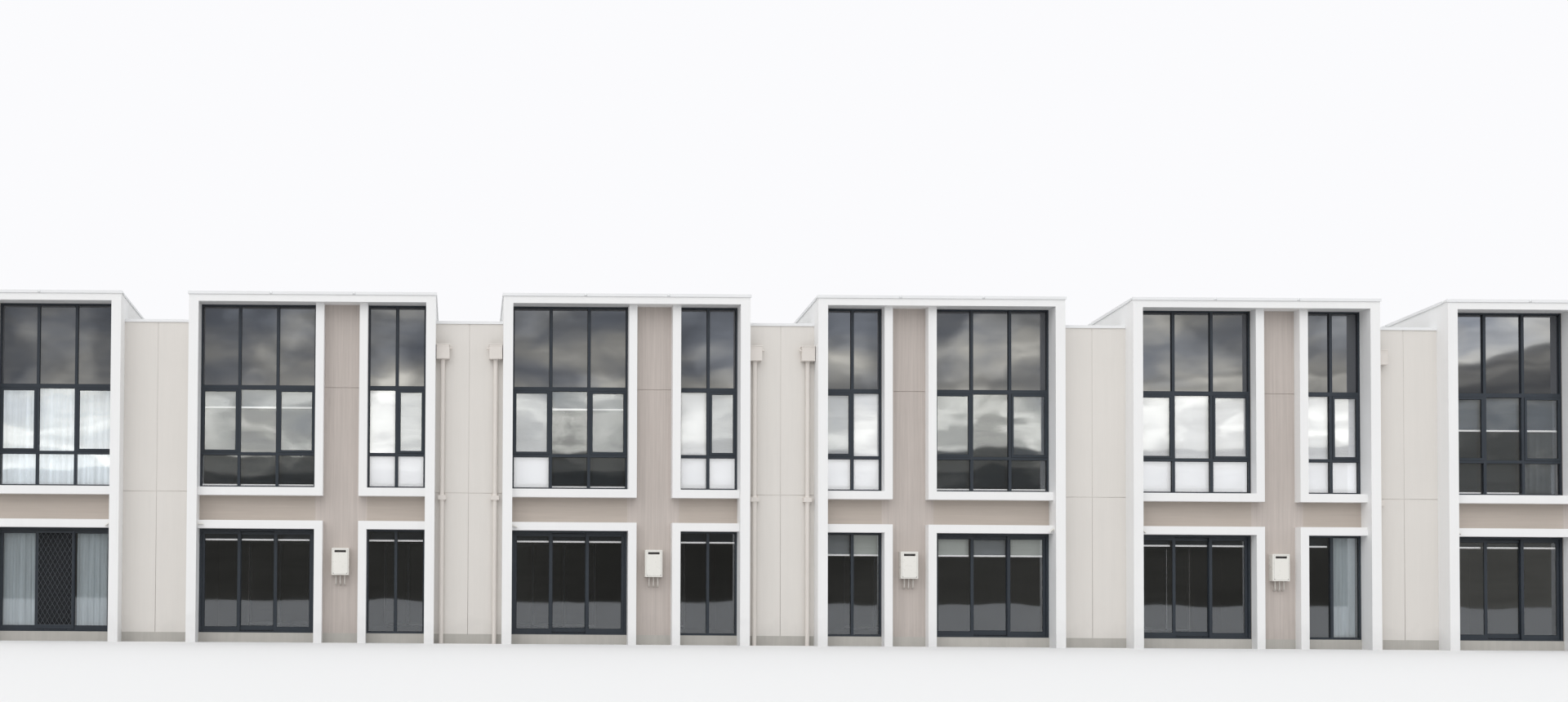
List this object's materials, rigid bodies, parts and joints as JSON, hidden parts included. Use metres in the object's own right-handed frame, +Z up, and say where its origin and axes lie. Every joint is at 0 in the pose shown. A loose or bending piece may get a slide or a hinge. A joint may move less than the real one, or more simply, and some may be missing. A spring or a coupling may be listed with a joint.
{
  "type": "terraced house row",
  "caption": "Row of two-storey terraced houses: white box fronts forward of lower infill bays, dark framed windows, ribbed roofs and sliding yard doors.",
  "frame": {"origin": "centre of the ground slab's underside", "axes": "+X along the row, +Y from the yard fronts to the rear, +Z up"},
  "size_m": [39.044, 10.222, 7.255],
  "materials": {
    "concrete": "rough cast concrete",
    "floor_boards": "satin boards",
    "ceiling_board": "matt painted board",
    "party_block": "painted blockwork",
    "beige_render": "fine painted render",
    "white_render": "fine painted render",
    "taupe_render": "streaky trowelled render",
    "cap_metal": "satin folded metal",
    "roof_metal": "satin ribbed sheet",
    "rainwater_metal": "satin painted metal",
    "frame_metal": "satin powder coat",
    "screen_mesh": "matt powder coat",
    "dark_glass": "dark coated glass",
    "clear_glass": "polished",
    "blind_cloth": "plain blind cloth",
    "sheer_cloth": "sheer weave",
    "heater_enamel": "satin enamel"
  },
  "bodies": {
    "root": {"ground_slab": "concrete", "first_floors": "floor_boards", "ceilings": "ceiling_board", "party_walls": "party_block", "end_walls": "beige_render", "end_caps": "cap_metal", "box_fins": "white_render", "box_top_bands": "white_render", "box_front_caps": "cap_metal", "box_side_walls": "white_render", "box_side_caps": "cap_metal", "box_roofs": "roof_metal", "front_piers": "taupe_render", "front_spandrels": "taupe_render", "surround_fins": "white_render", "surround_bands": "white_render", "infill_walls": "beige_render", "infill_caps": "cap_metal", "infill_roofs": "roof_metal", "box_gutters": "roof_metal", "rain_heads": "rainwater_metal", "downpipes": "rainwater_metal", "pipe_collars": "rainwater_metal", "upper_frames": "frame_metal", "awning_sashes": "frame_metal", "spandrel_glass": "dark_glass", "upper_glass": "clear_glass", "ground_frames": "frame_metal", "door_jambs": "frame_metal", "door_heads": "frame_metal", "door_sills": "frame_metal", "fixed_leaves": "frame_metal", "ground_glass": "clear_glass", "rear_piers": "beige_render", "rear_panels": "beige_render", "rear_frames": "frame_metal", "rear_glass": "clear_glass", "rear_gutters": "roof_metal", "rear_downpipes": "rainwater_metal", "upper_blinds": "blind_cloth", "ground_blinds": "blind_cloth", "rear_blinds": "blind_cloth", "curtains": "sheer_cloth", "water_heaters": "heater_enamel", "corner_lights": "heater_enamel"},
    "door_1": {"door_leaf_1": "frame_metal", "door_glass_1": "clear_glass"},
    "door_2": {"door_leaf_2": "frame_metal", "door_glass_2": "clear_glass"},
    "door_3": {"door_leaf_3": "frame_metal", "door_glass_3": "clear_glass"},
    "door_4": {"door_leaf_4": "frame_metal", "door_glass_4": "clear_glass"},
    "door_5": {"door_leaf_5": "frame_metal", "door_glass_5": "clear_glass"},
    "door_6": {"door_leaf_6": "frame_metal", "door_glass_6": "clear_glass"},
    "screen_1": {"screen_door": "frame_metal", "screen_mesh": "screen_mesh"}
  },
  "joints": [
    {"name": "slide_door_1", "type": "slide", "parent": "root", "child": "door_1", "axis": [-1, 0, 0], "range_m": [0, 0.745]},
    {"name": "slide_door_2", "type": "slide", "parent": "root", "child": "door_2", "axis": [1, 0, 0], "range_m": [0, 0.745]},
    {"name": "slide_door_3", "type": "slide", "parent": "root", "child": "door_3", "axis": [1, 0, 0], "range_m": [0, 0.745]},
    {"name": "slide_door_4", "type": "slide", "parent": "root", "child": "door_4", "axis": [-1, 0, 0], "range_m": [0, 0.745]},
    {"name": "slide_door_5", "type": "slide", "parent": "root", "child": "door_5", "axis": [1, 0, 0], "range_m": [0, 0.745]},
    {"name": "slide_door_6", "type": "slide", "parent": "root", "child": "door_6", "axis": [1, 0, 0], "range_m": [0, 0.745]},
    {"name": "slide_screen_1", "type": "slide", "parent": "root", "child": "screen_1", "axis": [-1, 0, 0], "range_m": [0, 0.745]}
  ]
}
